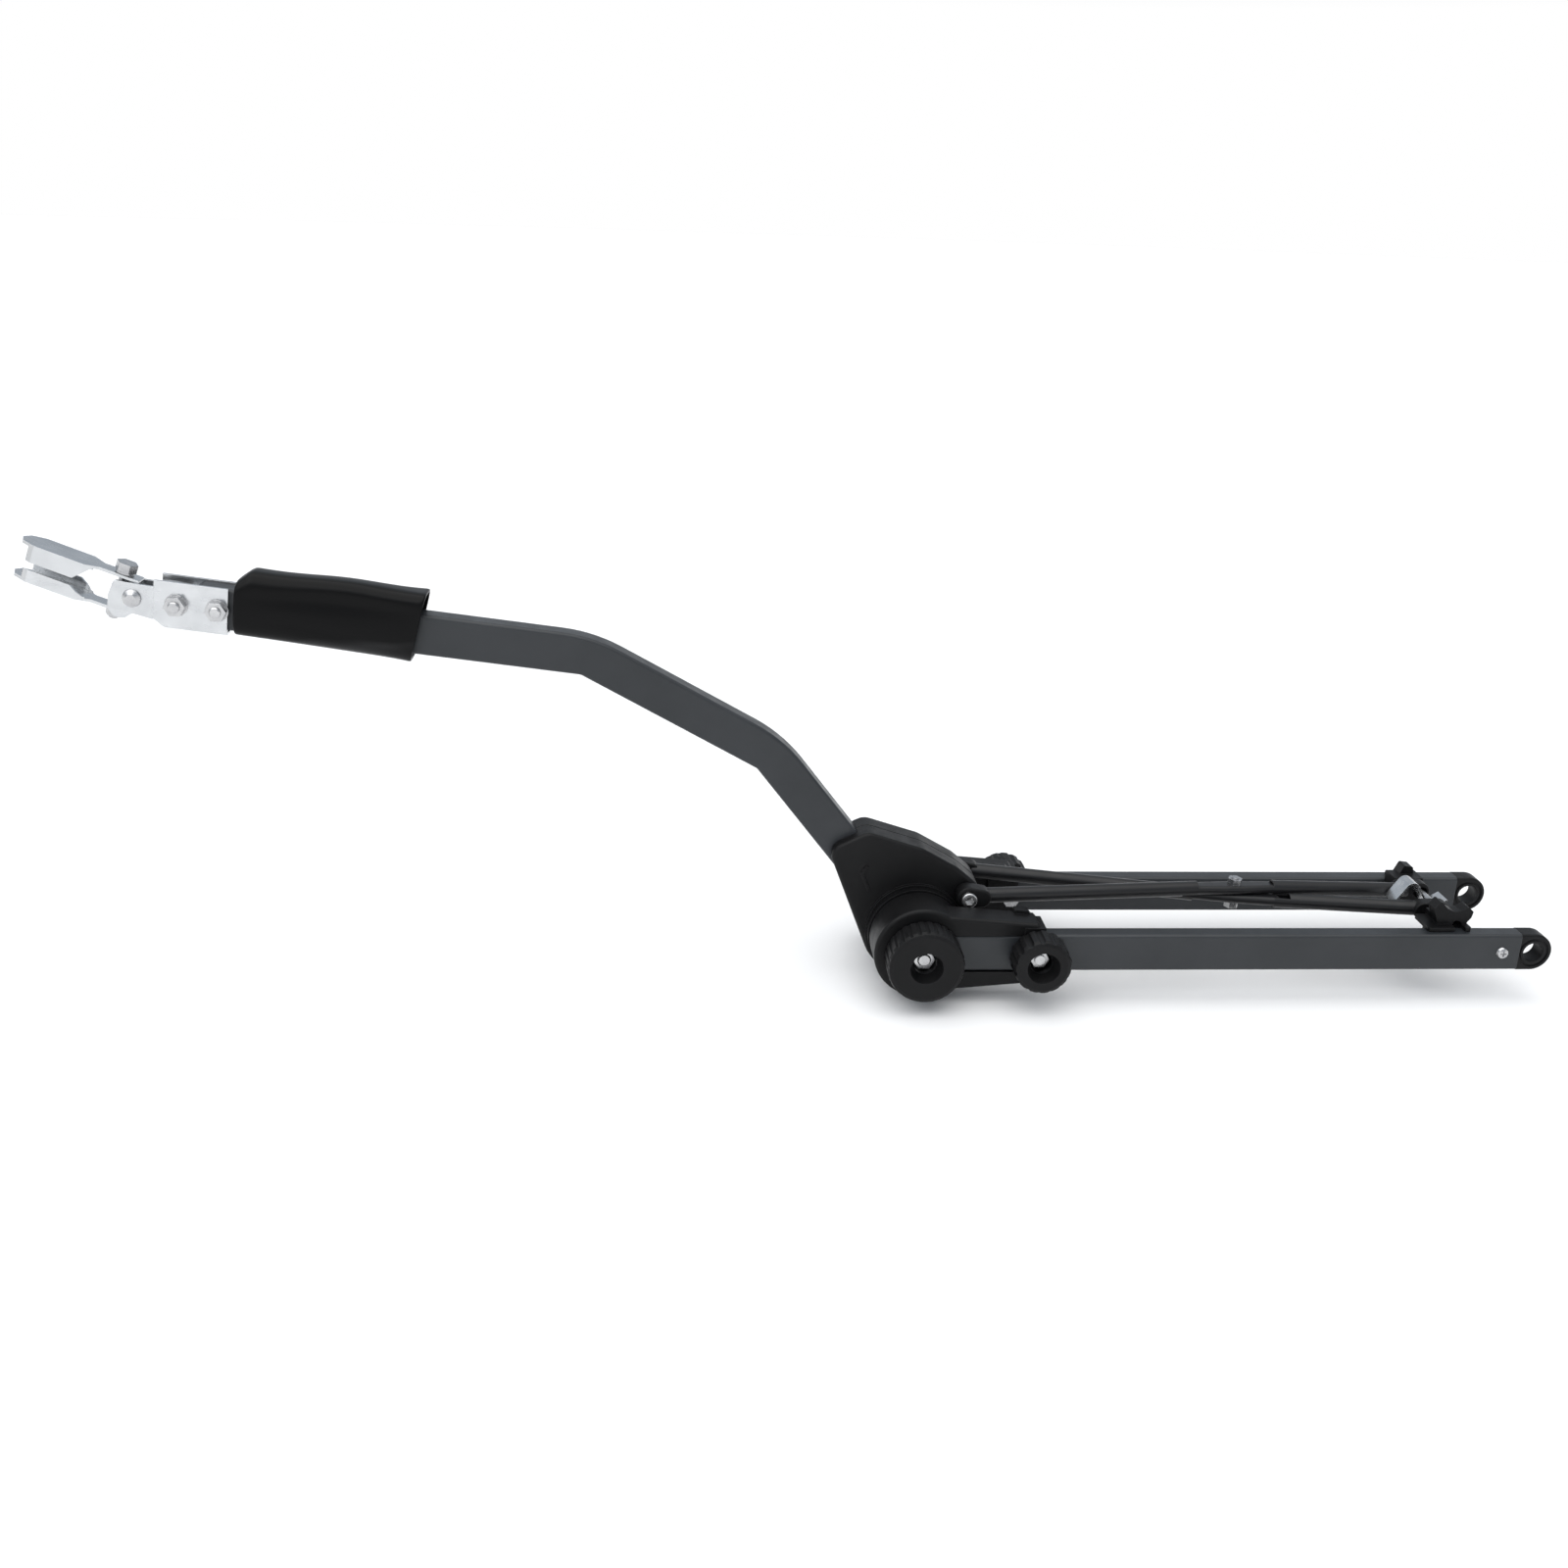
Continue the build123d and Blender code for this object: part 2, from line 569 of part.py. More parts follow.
def fin_bolt():
    """Socket head bolt through both rod ends and the nose of the housing."""
    seat = -(ROD_HUB_Y + ROD_RADIUS + 0.4) + 3.2
    shank = pin(FIN_BOLT_RADIUS, seat, 37.5)
    head = pin(FIN_HEAD_RADIUS, seat - 7.5, seat)
    head = fillet(head.edges().filter_by(GeomType.CIRCLE).sort_by(Axis.Y)[:1], 0.8)
    head -= hexagon(6, seat - 8, seat - 4)
    return Pos(FIN_PIN[0], 0, FIN_PIN[1]) * (shank + head)


def fin_nut():
    """Nut on the far end of the fin bolt."""
    seat = ROD_HUB_Y + ROD_RADIUS + 0.4 - 3.2
    nut = hexagon(FIN_NUT, seat, seat + 6.5, FIN_PIN)
    return nut - pin(FIN_BOLT_RADIUS, seat - 1, seat + 8, FIN_PIN)


def crossing_place():
    """Point (x, z) on the hub-to-carriage line where the flattened rods meet."""
    return ROD_CROSS_X, rod_line(ROD_CROSS, 1)[2]


def crossing_bolt():
    """Upright bolt through the crossing."""
    seat = ROD_FLAT + ROD_GAP
    bolt = Pos(0, 0, -seat - 4.8) * extrude(RegularPolygon(5, 6, major_radius=False), 4.8)
    bolt += Pos(0, 0, -seat) * extrude(Circle(TIE_BOLT_RADIUS), 2 * seat + 6.0)
    return tilt(bolt, crossing_place(), ROD_TILT)


def crossing_nut():
    """Nut on top of the crossing."""
    nut = Pos(0, 0, ROD_FLAT + ROD_GAP) * extrude(RegularPolygon(5, 6, major_radius=False), 5.0)
    nut -= extrude(Circle(TIE_BOLT_RADIUS), 20.0)
    return tilt(nut, crossing_place(), ROD_TILT)


# ================================================================ carriage
def saddle(foot, wing, pocket):
    """Near slider: a foot on the arm, a waist beside the arm and a wing above both."""
    x, z = CARRIAGE_PIN
    start, end = foot
    base = block(x + start, x + end, -56, -30, ARM_TOP + 0.4, ARM_TOP + 3.6)
    base = fillet(base.edges().filter_by(Axis.Z), 2)
    waist = block(x + WAIST[0], x + WAIST[1], -ARM_INNER + 0.5, -28, 5, 23)
    top = slab(outline([(x + dx, z + dz) for dx, dz in wing]), -49, -38)
    top = fillet(top.edges().filter_by(Axis.Y).sort_by(Axis.Z)[2:], 1.6)
    body = base + waist + top
    body -= pin(TIE_BOLT_RADIUS + 0.05, -60, -20, CARRIAGE_PIN)
    body -= pin(pocket, -60, -36, CARRIAGE_PIN)
    body -= block(x - 40, x + 40, -ARM_OUTER - 1, -ARM_INNER + 0.4, 0, ARM_TOP + 0.35)
    return body


def tie_bolt():
    """Long bolt through both saddles and both rod ends."""
    bolt = pin(TIE_BOLT_RADIUS, -36, 41, CARRIAGE_PIN)
    head = pin(TIE_HEAD_RADIUS, -39.2, -36, CARRIAGE_PIN) - hexagon(3, -40, -37.4, CARRIAGE_PIN)
    return bolt + head


def tie_nut():
    """Nut in the pocket of the far saddle."""
    nut = hexagon(TIE_NUT, 36, 41, CARRIAGE_PIN)
    return nut - pin(TIE_BOLT_RADIUS, 35, 42, CARRIAGE_PIN)


def spring_clip():
    """Wave-shaped zinc-plated strip that hangs on the tie bolt."""
    x, z = CARRIAGE_PIN
    thick = 1.5
    valley = TIE_BOLT_RADIUS + thick / 2 + 0.15
    wave = FilletPolyline((x - 32, z), (x - 18, z + 21.4), (x - 0.313 * valley, z - 1.384 * valley),
                          (x + 12, z + 3), radius=[5, valley])
    path = [wave.position_at(i / 40) for i in range(41)]
    upper = []
    lower = []
    for i, point in enumerate(path):
        step = wave.tangent_at(i / 40)
        upper.append((point.X - step.Y * thick / 2, point.Y + step.X * thick / 2))
        lower.append((point.X + step.Y * thick / 2, point.Y - step.X * thick / 2))
    return slab(outline(upper + lower[::-1]), -8, 8)


# ================================================================ jaw clamp
def clamp_bracket():
    """Folded channel, open on top, that grips the end of the boom."""
    length = CLAMP_END - CLAMP_START
    outer = CLAMP_INNER + CLAMP_PLATE
    half = CLAMP_HEIGHT / 2
    body = block(-length / 2, length / 2, -outer, outer, -half, half)
    body = fillet(body.edges().filter_by(Axis.X).filter_by_position(Axis.Z, -half, -half + 0.1), 2.2)
    inner = block(-length, length, -CLAMP_INNER, CLAMP_INNER, -half + CLAMP_PLATE - 0.7, half + 1)
    body -= inner
    corner = outline([(-length / 2 - 1, -half - 1), (-length / 2 + 10, -half - 1),
                      (-length / 2 - 1, -half + 7)])
    body -= slab(corner, -30, 30)
    middle = (CLAMP_START + CLAMP_END) / 2
    height = HEAD_PIVOT[1] + (HEAD_PIVOT[0] - middle) * tan(radians(BOOM_TILT)) - 1.0
    body = tilt(body, (middle, height), BOOM_TILT)
    for place in (HEAD_PIVOT, TUBE_BOLT):
        body -= pin(CLAMP_BOLT_RADIUS + 0.1, -30, 30, place)
    return body


def clamp_bolt(place):
    """Hex bolt through the clamp bracket; its threaded end faces near."""
    outer = CLAMP_INNER + CLAMP_PLATE
    bolt = pin(CLAMP_BOLT_RADIUS, -outer - 8.5, outer + 1.6, place)
    bolt = chamfer(bolt.edges().sort_by(Axis.Y)[:1], 0.8)
    return bolt + hexagon(13, outer + 1.6, outer + 6.9, place)


def clamp_washer(place):
    """Plain washer under the head of a clamp bolt."""
    outer = CLAMP_INNER + CLAMP_PLATE
    return pin(8, outer, outer + 1.6, place) - pin(CLAMP_BOLT_RADIUS, outer - 1, outer + 2, place)


def clamp_nut(place):
    """Flange nut on the near end of a clamp bolt."""
    outer = CLAMP_INNER + CLAMP_PLATE
    nut = hexagon(13, -outer - 6.4, -outer - 1.2, place) + pin(8, -outer - 1.2, -outer, place)
    return nut - pin(CLAMP_BOLT_RADIUS, -outer - 8, -outer + 1, place)


def jaw_head():
    """Folded head: two cheeks joined at the back, pivoted in the bracket."""
    cheek = outline([(-588, 247), (-586, 257), (-581, 267), (-566, 264), (-556, 262.5),
                     (-545, 262), (-529, 258), (-529, 244), (-545, 240), (-558, 239),
                     (-571, 243), (-577, 239.5), (-584, 240.5)])
    cheek = fillet(cheek.vertices(), 2.2)
    head = slab(cheek, -HEAD_HALF, HEAD_HALF)
    inside = HEAD_HALF - HEAD_PLATE
    head -= block(-600, -534, -inside, inside, 230, 300)
    head -= block(-600, -500, -inside, inside, 230, 241)
    head -= pin(CLAMP_BOLT_RADIUS + RUN, -20, 20, HEAD_PIVOT)
    head -= pin(CLAMP_BOLT_RADIUS, -20, 20, JAW_PIN)
    return head


def jaw_pin():
    """Riveted pin with round heads through the head's cheeks."""
    profile = [(0, -12.4), (3.2, -12.4), (6.2, -10.8), (6.6, -9), (CLAMP_BOLT_RADIUS, -9),
               (CLAMP_BOLT_RADIUS, 9), (6.6, 9), (6.2, 10.8), (3.2, 12.4), (0, 12.4)]
    return Pos(JAW_PIN[0], 0, JAW_PIN[1]) * turned(profile)


def jaw_plan(half, tip, root, neck_half, neck_end):
    """Leaf-shaped plan view of a jaw in its own frame, drawn in (x, y)."""
    leaf = make_face(Polyline(
        (tip, 0), (tip + 3, half * 0.62), (tip + 12, half), (root, half), (root + 9, neck_half),
        (neck_end, neck_half), (neck_end, -neck_half), (root + 9, -neck_half), (root, -half),
        (tip + 12, -half), (tip + 3, -half * 0.62), close=True))
    return leaf


def jaw_shell(plate_z, lip_z, neck_end):
    """A jaw: leaf-shaped plate with side lips bent towards the other jaw."""
    low, high = sorted((plate_z, lip_z))
    solid = Pos(0, 0, low) * extrude(jaw_plan(JAW_HALF, JAW_TIP, JAW_ROOT, NECK_HALF, neck_end),
                                        high - low)
    core = jaw_plan(JAW_HALF - JAW_PLATE, JAW_TIP - 9, JAW_ROOT - 0.5, 7.5, neck_end + 1)
    step = JAW_PLATE if lip_z > plate_z else -JAW_PLATE
    hollow_low, hollow_high = sorted((plate_z + step, lip_z + step))
    solid -= Pos(0, 0, hollow_low) * extrude(core, hollow_high - hollow_low)
    bend = plate_z + 1.5 * step
    away = outline([(JAW_ROOT - 5, lip_z), (JAW_ROOT - 5, lip_z + step), (JAW_ROOT + 12, lip_z + step),
                    (JAW_ROOT + 12, bend), (JAW_ROOT + 4, bend)])
    return solid - slab(away, -JAW_HALF - 1, JAW_HALF + 1)


def lower_jaw():
    """Lower jaw with a lug that the jaw pin holds in the head."""
    jaw = jaw_shell(JAW_BOTTOM, JAW_BOTTOM + 9.0, -10)
    lug = slab(outline([(-14, JAW_BOTTOM), (4, JAW_BOTTOM + 3), (7, 0), (2, 7), (-7, 5)]),
               -NECK_HALF, NECK_HALF)
    jaw += lug
    jaw -= pin(CLAMP_BOLT_RADIUS, -20, 20)
    jaw -= Pos(PINCH_X, 0, 0) * Cylinder(3.4, 60)
    return tilt(jaw, JAW_PIN, JAW_TILT)


def upper_jaw():
    """Upper jaw; the rolled end of its neck rocks between the head's cheeks."""
    jaw = jaw_shell(JAW_TOP, 0.0, 0) + pin(KNUCKLE_RADIUS, -NECK_HALF, NECK_HALF, (0, KNUCKLE_Z))
    slot = Box(9.5, 7.2, 60)
    jaw -= Pos(PINCH_X, 0, 0) * slot
    return tilt(jaw, JAW_PIN, JAW_TILT)


def pinch_bolt():
    """Hex bolt that pulls the upper jaw down."""
    seat = JAW_TOP + WASHER_GAP + WASHER_THICK
    bolt = Pos(0, 0, seat) * extrude(RegularPolygon(6.5, 6, major_radius=False), 6.0)
    bolt += Pos(0, 0, JAW_BOTTOM - 7) * extrude(Circle(PINCH_RADIUS), seat - JAW_BOTTOM + 7)
    return tilt(Pos(PINCH_X, 0, 0) * bolt, JAW_PIN, JAW_TILT)


def pinch_washer():
    """Washer between the clamp screw and the upper jaw."""
    ring = Pos(0, 0, JAW_TOP + WASHER_GAP) * extrude(Circle(6.5) - Circle(PINCH_RADIUS), WASHER_THICK)
    return tilt(Pos(PINCH_X, 0, 0) * ring, JAW_PIN, JAW_TILT)


def pinch_nut():
    """Nut under the lower jaw."""
    nut = Pos(0, 0, JAW_BOTTOM - 5.2) * extrude(
        RegularPolygon(5, 6, major_radius=False) - Circle(PINCH_RADIUS), 5.2)
    return tilt(Pos(PINCH_X, 0, 0) * nut, JAW_PIN, JAW_TILT)


# ================================================================ all nodes
def main():
    """Build every node."""
    os.makedirs("parts", exist_ok=True)
    save_pair("side_arm", side_arm())
    save_pair("end_cap", end_cap())
    save("end_cap_screws", cap_screw(), across(cap_screw()))
    save_pair("bracket", bracket())
    save_pair("toothed_disc", toothed_disc())
    save("pivot_bush", pivot_bush())
    save("axle_bolt", axle_bolt())
    save("axle_washer", axle_washer())
    save("main_knob_washer", knob_washer())
    save("arm_knob_bolts", arm_bolt(), across(arm_bolt()))

    save("main_knob", knob(MAIN_KNOB_RADIUS, -BRACKET_FACE - 1.2, 28, 1.8, AXLE_RADIUS))
    save("main_knob_nut", knob_nut(14.6, AXLE_RADIUS, 5.5))
    small = knob(ARM_KNOB_RADIUS, -BRIDGE_FACE - 0.4, 15, 3.0, ARM_BOLT_RADIUS)
    save_pair("arm_knob", Pos(ARM_KNOB_X, 0, 0) * small)
    save_pair("arm_knob_nut", Pos(ARM_KNOB_X, 0, 0) * knob_nut(12.6, ARM_BOLT_RADIUS, 5.0))

    save("near_housing_shell", near_shell())
    save("far_housing_shell", far_shell())
    save("housing_screws", *[shell_screw(place) for place in SHELL_SCREWS])
    save("boom_tube", boom_tube())
    save("boom_end_plug", boom_plug())
    save("rubber_sleeve", sleeve())

    save("upper_cross_rod", cross_rod(-1))
    save("lower_cross_rod", cross_rod(1))
    save("near_hub_rod_end", hub_rod_end(-1))
    save("far_hub_rod_end", hub_rod_end(1))
    save("far_carriage_rod_end", carriage_rod_end(-1))
    save("near_carriage_rod_end", carriage_rod_end(1))
    save("fin_bolt", fin_bolt())
    save("fin_nut", fin_nut())
    save("crossing_bolt", crossing_bolt())
    save("crossing_nut", crossing_nut())

    save("near_saddle", saddle(NEAR_FOOT, NEAR_WING, TIE_HEAD_RADIUS + 0.6))
    save("far_saddle", across(saddle(FAR_FOOT, FAR_WING, TIE_NUT / 2 / cos(radians(30)) + 0.2)))
    save("tie_bolt", tie_bolt())
    save("tie_nut", tie_nut())
    save("spring_clip", spring_clip())

    bolts = (HEAD_PIVOT, TUBE_BOLT)
    save("clamp_bracket", clamp_bracket())
    save("clamp_bolts", *[clamp_bolt(place) for place in bolts])
    save("clamp_washers", *[clamp_washer(place) for place in bolts])
    save("clamp_nuts", *[clamp_nut(place) for place in bolts])
    save("jaw_head", jaw_head())
    save("jaw_pin", jaw_pin())
    save("lower_jaw", lower_jaw())
    save("upper_jaw", upper_jaw())
    save("pinch_bolt", pinch_bolt())
    save("pinch_washer", pinch_washer())
    save("pinch_nut", pinch_nut())


main()
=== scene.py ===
import json
from math import atan2, cos, exp, pi, sin

import bmesh
import bpy
from mathutils import Matrix, Vector


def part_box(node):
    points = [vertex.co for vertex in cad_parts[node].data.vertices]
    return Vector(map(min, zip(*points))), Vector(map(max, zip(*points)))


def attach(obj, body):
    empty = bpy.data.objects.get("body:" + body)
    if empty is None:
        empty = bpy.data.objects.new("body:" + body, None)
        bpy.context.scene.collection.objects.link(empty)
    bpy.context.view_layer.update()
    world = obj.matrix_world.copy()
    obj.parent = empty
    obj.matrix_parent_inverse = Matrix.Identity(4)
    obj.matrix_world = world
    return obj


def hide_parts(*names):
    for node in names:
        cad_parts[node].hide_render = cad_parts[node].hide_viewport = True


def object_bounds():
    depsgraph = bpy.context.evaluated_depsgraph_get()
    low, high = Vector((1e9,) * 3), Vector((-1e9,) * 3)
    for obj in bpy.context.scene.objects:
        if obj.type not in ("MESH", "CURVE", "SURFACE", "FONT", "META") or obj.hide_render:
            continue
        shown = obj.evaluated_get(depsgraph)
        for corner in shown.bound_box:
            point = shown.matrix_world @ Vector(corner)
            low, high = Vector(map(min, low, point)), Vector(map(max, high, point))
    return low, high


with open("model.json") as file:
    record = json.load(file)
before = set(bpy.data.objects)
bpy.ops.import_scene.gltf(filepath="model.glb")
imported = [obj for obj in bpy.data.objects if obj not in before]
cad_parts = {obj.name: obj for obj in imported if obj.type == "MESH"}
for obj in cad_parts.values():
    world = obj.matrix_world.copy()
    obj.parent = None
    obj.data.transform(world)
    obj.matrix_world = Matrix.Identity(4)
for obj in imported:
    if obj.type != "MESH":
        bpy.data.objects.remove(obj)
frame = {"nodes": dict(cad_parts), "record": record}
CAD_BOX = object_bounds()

# ------------------------------------------------------------------ camera
EYE = Vector((-0.66463, -1.10763, 0.52775))
TURN = Vector((0.358, -0.067, 0.018))  # camera turn from looking level along +Y
LENS = 35.67
SENSOR = 36.0
FAR_CLIP = 100.0


def make_camera():
    data = bpy.data.cameras.new("camera")
    data.lens = LENS
    data.sensor_width = SENSOR
    data.dof.use_dof = False
    data.clip_end = FAR_CLIP
    camera = bpy.data.objects.new("camera", data)
    bpy.context.collection.objects.link(camera)
    level = Matrix(((1, 0, 0), (0, 0, -1), (0, 1, 0)))
    seen = Matrix.Rotation(TURN.length, 3, TURN.normalized()) @ level
    axes = Matrix((seen[0], -seen[1], -seen[2])).transposed()
    camera.matrix_world = Matrix.Translation(EYE) @ axes.to_4x4()
    bpy.context.scene.camera = camera


# ------------------------------------------------------------------ materials
NOISE_LOW = 0.3  # a noise mostly stays between these two
NOISE_HIGH = 0.7
EDGE_START = 0.985  # cosine between true and rounded normal where the painted edge highlight begins
EDGE_FULL = 0.90
# reach of the painted edge highlight in from each edge
EDGE_HIGHLIGHT_RADIUS = 0.0009
EDGE_ROUND = 0.0005
GRAIN_DEPTH = 0.0002
BEVEL_SAMPLES = 4
STREAK_STRETCH = (0.22, 1, 1)
ROLLED = (0.25, 1, 1)
EVEN = (1, 1, 1)


def set_stops(ramp, stops):
    """Give a colour ramp node its stops, each a position and a colour."""
    elements = ramp.color_ramp.elements
    while len(elements) < len(stops):
        elements.new(1.0)
    for element, (position, color) in zip(elements, stops):
        element.position = position
        element.color = (*color, 1)


class Nodes:
    """A new node material with short calls for the nodes it is made of."""

    def __init__(self, name):
        self.material = bpy.data.materials.new(name)
        self.material.use_nodes = True
        self.tree = self.material.node_tree
        self.shader = self.tree.nodes["Principled BSDF"]
        self.place = self.add("ShaderNodeTexCoord").outputs["Object"]

    def add(self, kind, **values):
        node = self.tree.nodes.new(kind)
        for key, value in values.items():
            setattr(node, key, value)
        return node

    def link(self, source, target):
        self.tree.links.new(source, target)

    def noise(self, scale, detail, stretch=EVEN):
        mapping = self.add("ShaderNodeMapping")
        mapping.inputs["Scale"].default_value = stretch
        self.link(self.place, mapping.inputs["Vector"])
        noise = self.add("ShaderNodeTexNoise")
        noise.inputs["Scale"].default_value = scale
        noise.inputs["Detail"].default_value = detail
        self.link(mapping.outputs["Vector"], noise.inputs["Vector"])
        return noise.outputs["Fac"]

    def ramp(self, value, stops):
        ramp = self.add("ShaderNodeValToRGB")
        set_stops(ramp, stops)
        self.link(value, ramp.inputs["Fac"])
        return ramp.outputs["Color"]

    def spread(self, value, low, high):
        """Map a noise to a range of values."""
        node = self.add("ShaderNodeMapRange")
        node.inputs["From Min"].default_value = NOISE_LOW
        node.inputs["From Max"].default_value = NOISE_HIGH
        node.inputs["To Min"].default_value = low
        node.inputs["To Max"].default_value = high
        self.link(value, node.inputs["Value"])
        return node.outputs["Result"]

    def painted_edge_highlight(self, color, edge_highlight_colour):
        """Mix in a lighter colour along the edges as a painted highlight, broken up by noise.
        """
        bevel = self.add("ShaderNodeBevel", samples=BEVEL_SAMPLES)
        bevel.inputs["Radius"].default_value = EDGE_HIGHLIGHT_RADIUS
        dot = self.add("ShaderNodeVectorMath", operation="DOT_PRODUCT")
        self.link(bevel.outputs["Normal"], dot.inputs[0])
        self.link(self.add("ShaderNodeNewGeometry").outputs["Normal"], dot.inputs[1])
        edge = self.add("ShaderNodeMapRange")
        edge.inputs["From Min"].default_value = EDGE_START
        edge.inputs["From Max"].default_value = EDGE_FULL
        self.link(dot.outputs["Value"], edge.inputs["Value"])
        patchy = self.add("ShaderNodeMath", operation="MULTIPLY")
        self.link(edge.outputs["Result"], patchy.inputs[0])
        patches = self.spread(self.noise(120, detail=4), 0.1, 0.8)
        self.link(patches, patchy.inputs[1])
        mix = self.add("ShaderNodeMix", data_type="RGBA")
        sockets = [socket for socket in mix.inputs if socket.type == "RGBA"]
        self.link(patchy.outputs["Value"], mix.inputs["Factor"])
        self.link(color, sockets[0])
        sockets[1].default_value = (*edge_highlight_colour, 1)
        return [socket for socket in mix.outputs if socket.type == "RGBA"][0]

    def bump(self, value, strength, depth=GRAIN_DEPTH, edge=EDGE_ROUND):
        """Bump over slightly rounded edges."""
        bevel = self.add("ShaderNodeBevel", samples=BEVEL_SAMPLES)
        bevel.inputs["Radius"].default_value = edge
        node = self.add("ShaderNodeBump")
        node.inputs["Strength"].default_value = strength
        node.inputs["Distance"].default_value = depth
        self.link(value, node.inputs["Height"])
        self.link(bevel.outputs["Normal"], node.inputs["Normal"])
        self.link(node.outputs["Normal"], self.shader.inputs["Normal"])

    def set(self, name, value):
        self.shader.inputs[name].default_value = value


def coated(name, dark, light, edge_highlight_colour, rough, grain, strength, specular):
    """A coat or moulding: slow colour variation, a painted highlight along the edges, fine
    grain, uneven gloss.
    """
    m = Nodes(name)
    color = m.ramp(m.noise(14, detail=5), ((NOISE_LOW, dark), (NOISE_HIGH, light)))
    # painted highlight: a lighter colour along the edges
    m.link(m.painted_edge_highlight(color, edge_highlight_colour), m.shader.inputs["Base Color"])
    gloss = m.spread(m.noise(90, detail=4), rough - 0.05, rough + 0.07)
    m.link(gloss, m.shader.inputs["Roughness"])
    m.set("Specular IOR Level", specular)
    m.bump(m.noise(grain, detail=2), strength)
    return m.material


def plated(name, dark, light, rough, stretch):
    """Plated steel: mottled plating and fine rolling marks along the sheet."""
    m = Nodes(name)
    color = m.ramp(m.noise(60, detail=6), ((0.32, dark), (0.68, light)))
    m.link(color, m.shader.inputs["Base Color"])
    gloss = m.spread(m.noise(160, 4, stretch), rough - 0.07, rough + 0.1)
    m.link(gloss, m.shader.inputs["Roughness"])
    m.set("Metallic", 1.0)
    m.bump(m.noise(700, 2, stretch), strength=0.12, depth=0.00008, edge=0.0004)
    return m.material


def rubber(name):
    """Black rubber with a painted sheen in faint lengthwise streaks, paler and glossier than
    the rest.
    """
    m = Nodes(name)
    painted_sheen_streaks = m.noise(22, 3, STREAK_STRETCH)
    dark = (0.0008, 0.0008, 0.0010)
    # painted sheen: the paler colour of the lengthwise streaks
    light = (0.034, 0.034, 0.035)
    color = m.ramp(painted_sheen_streaks, ((0.50, dark), (0.68, light)))
    # painted highlight: a lighter colour along the edges
    m.link(m.painted_edge_highlight(color, (0.010, 0.010, 0.011)), m.shader.inputs["Base Color"])
    m.link(m.spread(painted_sheen_streaks, 0.36, 0.22), m.shader.inputs["Roughness"])
    m.set("Specular IOR Level", 0.13)
    m.bump(m.noise(700, 3, STREAK_STRETCH), strength=0.2)
    return m.material


def make_materials():
    """One material for each slot name in the record."""
    # the lighter edge colours given below are painted edge highlights
    return {
        "tube_paint": coated(
            "tube_paint", dark=(0.015, 0.0175, 0.020), light=(0.022, 0.0245, 0.028),
            edge_highlight_colour=(0.07, 0.073, 0.077), rough=0.38, grain=2600, strength=0.16, specular=0.40),
        "black_plastic": coated(
            "black_plastic", dark=(0.0030, 0.0030, 0.0033), light=(0.0060, 0.0060, 0.0064),
            edge_highlight_colour=(0.022, 0.022, 0.023), rough=0.42, grain=2100, strength=0.30, specular=0.17),
        "rod_paint": coated(
            "rod_paint", dark=(0.0060, 0.0060, 0.0066), light=(0.0095, 0.0095, 0.0105),
            edge_highlight_colour=(0.035, 0.035, 0.036), rough=0.33, grain=1700, strength=0.12, specular=0.34),
        "sleeve_rubber": rubber("sleeve_rubber"),
        "zinc_sheet": plated(
            "zinc_sheet", dark=(0.55, 0.56, 0.57), light=(0.63, 0.64, 0.65), rough=0.23,
            stretch=ROLLED),
        # painted shade: this steel is darker than bright steel so the nuts deep in the knob
        # recesses look shaded; the mottle between the two stops is plating
        "bright_steel": plated(
            "bright_steel", dark=(0.38, 0.38, 0.39), light=(0.60, 0.60, 0.60), rough=0.24,
            stretch=EVEN),
    }


# ------------------------------------------------------------------ sleeve
SLEEVE_WALL = 0.0026
SLEEVE_LENGTH = 0.129
SLEEVE_WIDTH = 0.033
BOOM_FALL = 0.0331  # of the boom's straight end, which the sleeve is on
BOOM_RUN = 0.2723
SLEEVE_TILT = atan2(BOOM_FALL, BOOM_RUN)
SLEEVE_TOP = 0.0236  # above the middle of the CAD sleeve
SLEEVE_BOTTOM = (0.0252, 0.0285)  # below it, at the clamp end and at the open end
CUT_SHARE = 0.075  # share of the length that the slanted top corner takes
CUT_DEPTH = 0.0085
FLARE_START = 0.70  # share of the length where the open end starts to lean out
ROUNDNESS = 0.60  # power of the cross-section: 1 is an ellipse, 0 a rectangle
FLARE_ROUNDNESS = 0.16
CREASE_DEPTH = 0.0021
CREASE_WIDTH = 0.0055
CREASE_HEIGHT = 0.0055
CREASE_SWING = 0.0035
FOLD_DEPTH = 0.0009  # a second, shallower crease lower down
FOLD_WIDTH = 0.0040
FOLD_HEIGHT = -0.0135
FOLD_SWING = 0.0030
RIPPLE = 0.0004
SAG = 0.0011
NARROWING = 0.0012
END_LEAN = 0.0040
AROUND = 72
ALONG = 60
RIM_STEPS = 6


